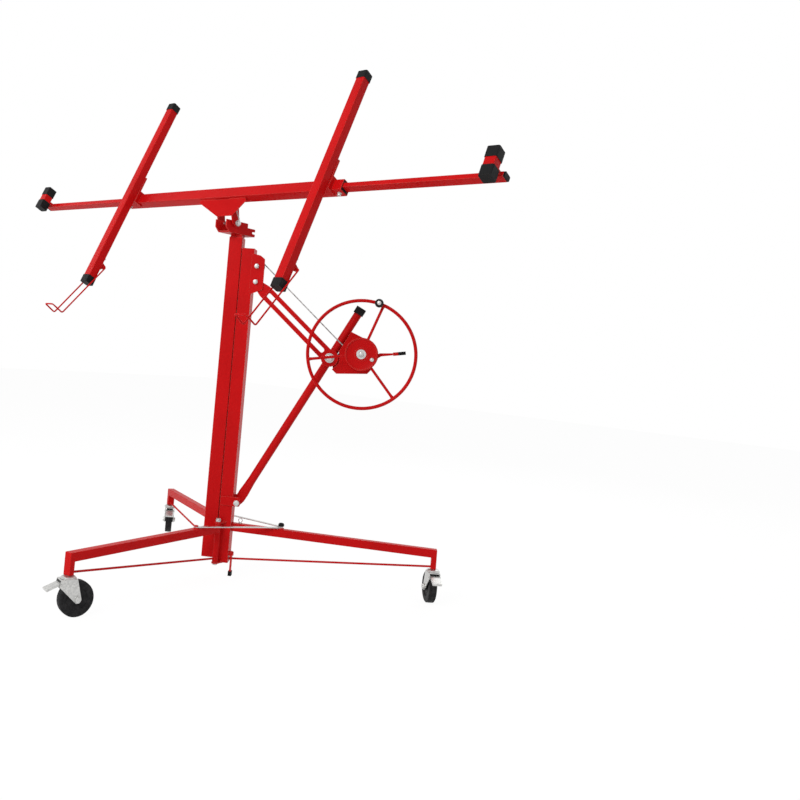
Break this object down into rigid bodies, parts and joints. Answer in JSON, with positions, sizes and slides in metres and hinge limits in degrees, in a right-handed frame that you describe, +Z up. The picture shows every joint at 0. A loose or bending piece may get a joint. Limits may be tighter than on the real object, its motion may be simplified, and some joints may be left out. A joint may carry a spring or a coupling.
{
  "type": "drywall lift",
  "caption": "Panel lift with a folding caster base, telescoping mast raised by a hand winch, and a tilting, swivelling cradle with cross arms, sliding outriggers and sheet hooks.",
  "frame": {"origin": "middle of the bounding box's footprint, on the floor", "axes": "+X along the crossbar towards the winch side, +Z up; the sheet side faces -Y"},
  "size_m": [2.3846, 1.385, 1.9575],
  "materials": {
    "red_paint": "gloss powder coat",
    "black_plastic": "moulded",
    "wheel_rubber": "moulded tread",
    "zinc": "zinc plated",
    "cable_steel": "wire rope"
  },
  "bodies": {
    "base": {"outer_column": "red_paint", "winch_bracket": "red_paint", "winch_arm": "red_paint", "brace_tube": "red_paint", "brace_cap": "black_plastic", "lower_clevis": "red_paint", "knuckle_bolt": "zinc", "winch_housing": "red_paint", "drum_cover": "red_paint", "winch_cable": "cable_steel", "front_leg": "red_paint", "hinge_pin_left": "zinc", "hinge_pin_right": "zinc", "stay_knob": "black_plastic"},
    "middle": {"middle_column": "red_paint"},
    "inner": {"inner_column": "red_paint"},
    "head": {"swivel_head": "red_paint"},
    "cradle": {"tilt_bracket": "red_paint", "tilt_bolt": "zinc", "crossbar": "red_paint", "cross_arm_left": "red_paint", "cross_arm_right": "red_paint", "arm_top_cap_left": "black_plastic", "arm_bottom_cap_left": "black_plastic", "arm_top_cap_right": "black_plastic", "arm_bottom_cap_right": "black_plastic"},
    "winch": {"cable_drum": "zinc", "handwheel": "red_paint"},
    "knob": {"crank_knob": "black_plastic"},
    "brake": {"brake_lever": "zinc"},
    "pulley": {"cable_pulley": "black_plastic"},
    "floor_lock": {"lock_lever": "zinc"},
    "leg_lock": {"lock_pin": "zinc"},
    "outrigger_left": {"outrigger_left": "red_paint", "tee_top_cap_left": "black_plastic", "tee_bottom_cap_left": "black_plastic", "outrigger_plug_left": "black_plastic"},
    "hook_left": {"hook_left": "red_paint"},
    "outrigger_right": {"outrigger_right": "red_paint", "tee_top_cap_right": "black_plastic", "tee_bottom_cap_right": "black_plastic", "outrigger_plug_right": "black_plastic"},
    "hook_right": {"hook_right": "red_paint"},
    "fork_front": {"caster_fork_front": "zinc"},
    "wheel_front": {"caster_wheel_front": "wheel_rubber"},
    "pedal_front": {"caster_brake_front": "zinc"},
    "rear_leg_left": {"rear_leg_left": "red_paint"},
    "stay_left": {"stay_left": "zinc"},
    "fork_rear_left": {"caster_fork_rear_left": "zinc"},
    "wheel_rear_left": {"caster_wheel_rear_left": "wheel_rubber"},
    "pedal_rear_left": {"caster_brake_rear_left": "zinc"},
    "rear_leg_right": {"rear_leg_right": "red_paint"},
    "stay_right": {"stay_right": "zinc"},
    "fork_rear_right": {"caster_fork_rear_right": "zinc"},
    "wheel_rear_right": {"caster_wheel_rear_right": "wheel_rubber"},
    "pedal_rear_right": {"caster_brake_rear_right": "zinc"}
  },
  "joints": [
    {"name": "lift_slide", "type": "slide", "parent": "base", "child": "middle", "axis": [0, 0, 1], "range_m": [0, 0.95]},
    {"name": "inner_slide", "type": "slide", "parent": "middle", "child": "inner", "axis": [0, 0, 1], "range_m": [0, 0.95]},
    {"name": "winch_turn", "type": "hinge", "parent": "base", "child": "winch", "pos_m": [0.4382, 0.43805, 0.91822], "axis": [0.5592, -0.829, 0], "range_deg": [0, 1915]},
    {"name": "pulley_turn", "type": "hinge", "parent": "base", "child": "pulley", "pos_m": [0.08847, 0.17852, 1.2274], "axis": [-0.5592, 0.829, 0], "range_deg": [0, 2060]},
    {"name": "knob_spin", "type": "hinge", "parent": "winch", "child": "knob", "pos_m": [0.48152, 0.46728, 1.11541], "axis": [0.5592, -0.829, 0], "continuous": true},
    {"name": "brake_release", "type": "hinge", "parent": "base", "child": "brake", "pos_m": [0.50367, 0.41431, 0.90422], "axis": [0.5592, -0.829, 0], "range_deg": [-25, 10]},
    {"name": "head_swivel", "type": "hinge", "parent": "inner", "child": "head", "pos_m": [0, 0.14249, 1.3494], "axis": [0, 0, 1], "range_deg": [-120, 30]},
    {"name": "cradle_tilt", "type": "hinge", "parent": "head", "child": "cradle", "pos_m": [0, 0.08749, 1.3874], "axis": [1, 0, 0], "range_deg": [-65.2, 0]},
    {"name": "outrigger_left_slide", "type": "slide", "parent": "cradle", "child": "outrigger_left", "axis": [1, 0, 0], "range_m": [0, 0.4]},
    {"name": "hook_left_swing", "type": "hinge", "parent": "cradle", "child": "hook_left", "pos_m": [-0.519, -0.11368, 1.18424], "axis": [1, 0, 0], "range_deg": [-20, 60], "stiffness_Nm_per_rad": 4},
    {"name": "outrigger_right_slide", "type": "slide", "parent": "cradle", "child": "outrigger_right", "axis": [-1, 0, 0], "range_m": [0, 0.4]},
    {"name": "hook_right_swing", "type": "hinge", "parent": "cradle", "child": "hook_right", "pos_m": [0.519, -0.11368, 1.18424], "axis": [1, 0, 0], "range_deg": [-20, 60], "stiffness_Nm_per_rad": 4},
    {"name": "caster_front_swivel", "type": "hinge", "parent": "base", "child": "fork_front", "pos_m": [0.71339, 0.62367, 0.1244], "axis": [0, 0, 1], "continuous": true},
    {"name": "caster_front_roll", "type": "hinge", "parent": "fork_front", "child": "wheel_front", "pos_m": [0.69181, 0.64451, 0.0584], "axis": [-0.6947, -0.7193, 0], "continuous": true},
    {"name": "caster_front_brake", "type": "hinge", "parent": "fork_front", "child": "pedal_front", "pos_m": [0.73281, 0.60492, 0.1079], "axis": [-0.6947, -0.7193, 0], "range_deg": [-10, 0]},
    {"name": "rear_leg_left_fold", "type": "hinge", "parent": "base", "child": "rear_leg_left", "pos_m": [0.06132, 0.11148, 0.1494], "axis": [0, 0, 1], "range_deg": [0, 95]},
    {"name": "stay_left_fold", "type": "hinge", "parent": "rear_leg_left", "child": "stay_left", "pos_m": [0.07018, -0.01521, 0.2209], "axis": [0, 0, 1], "range_deg": [-130, 0]},
    {"name": "caster_rear_left_swivel", "type": "hinge", "parent": "rear_leg_left", "child": "fork_rear_left", "pos_m": [0.11204, -0.61375, 0.1244], "axis": [0, 0, 1], "continuous": true},
    {"name": "caster_rear_left_roll", "type": "hinge", "parent": "fork_rear_left", "child": "wheel_rear_left", "pos_m": [0.12031, -0.58491, 0.0584], "axis": [-0.9613, 0.2756, 0], "continuous": true},
    {"name": "caster_rear_left_brake", "type": "hinge", "parent": "fork_rear_left", "child": "pedal_rear_left", "pos_m": [0.10459, -0.6397, 0.1079], "axis": [-0.9613, 0.2756, 0], "range_deg": [-10, 0]},
    {"name": "rear_leg_right_fold", "type": "hinge", "parent": "base", "child": "rear_leg_right", "pos_m": [-0.00578, 0.21096, 0.1494], "axis": [0, 0, 1], "range_deg": [-95, 0]},
    {"name": "stay_right_fold", "type": "hinge", "parent": "rear_leg_right", "child": "stay_right", "pos_m": [-0.11993, 0.26664, 0.2237], "axis": [0, 0, 1], "range_deg": [0, 130]},
    {"name": "caster_rear_right_swivel", "type": "hinge", "parent": "rear_leg_right", "child": "fork_rear_right", "pos_m": [-0.6592, 0.52966, 0.1244], "axis": [0, 0, 1], "continuous": true},
    {"name": "caster_rear_right_roll", "type": "hinge", "parent": "fork_rear_right", "child": "wheel_rear_right", "pos_m": [-0.68078, 0.5505, 0.0584], "axis": [-0.6947, -0.7193, 0], "continuous": true},
    {"name": "caster_rear_right_brake", "type": "hinge", "parent": "fork_rear_right", "child": "pedal_rear_right", "pos_m": [-0.63978, 0.5109, 0.1079], "axis": [-0.6947, -0.7193, 0], "range_deg": [-10, 0]},
    {"name": "floor_lock_swing", "type": "hinge", "parent": "base", "child": "floor_lock", "pos_m": [0.08538, 0.17595, 0.1054], "axis": [0.829, 0.5592, 0], "range_deg": [-80, 5]},
    {"name": "leg_lock_pull", "type": "slide", "parent": "base", "child": "leg_lock", "axis": [0, 0, 1], "range_m": [0, 0.012], "stiffness_N_per_m": 300, "springref_m": -0.004}
  ],
  "couplings": [
    {"joint": "inner_slide", "follows": "lift_slide", "ratio": 1},
    {"joint": "winch_turn", "follows": "lift_slide", "rad_per_m": 35.088},
    {"joint": "pulley_turn", "follows": "lift_slide", "rad_per_m": 37.736},
    {"joint": "stay_left_fold", "follows": "rear_leg_left_fold", "ratio": -1.36},
    {"joint": "stay_right_fold", "follows": "rear_leg_right_fold", "ratio": -1.36}
  ]
}
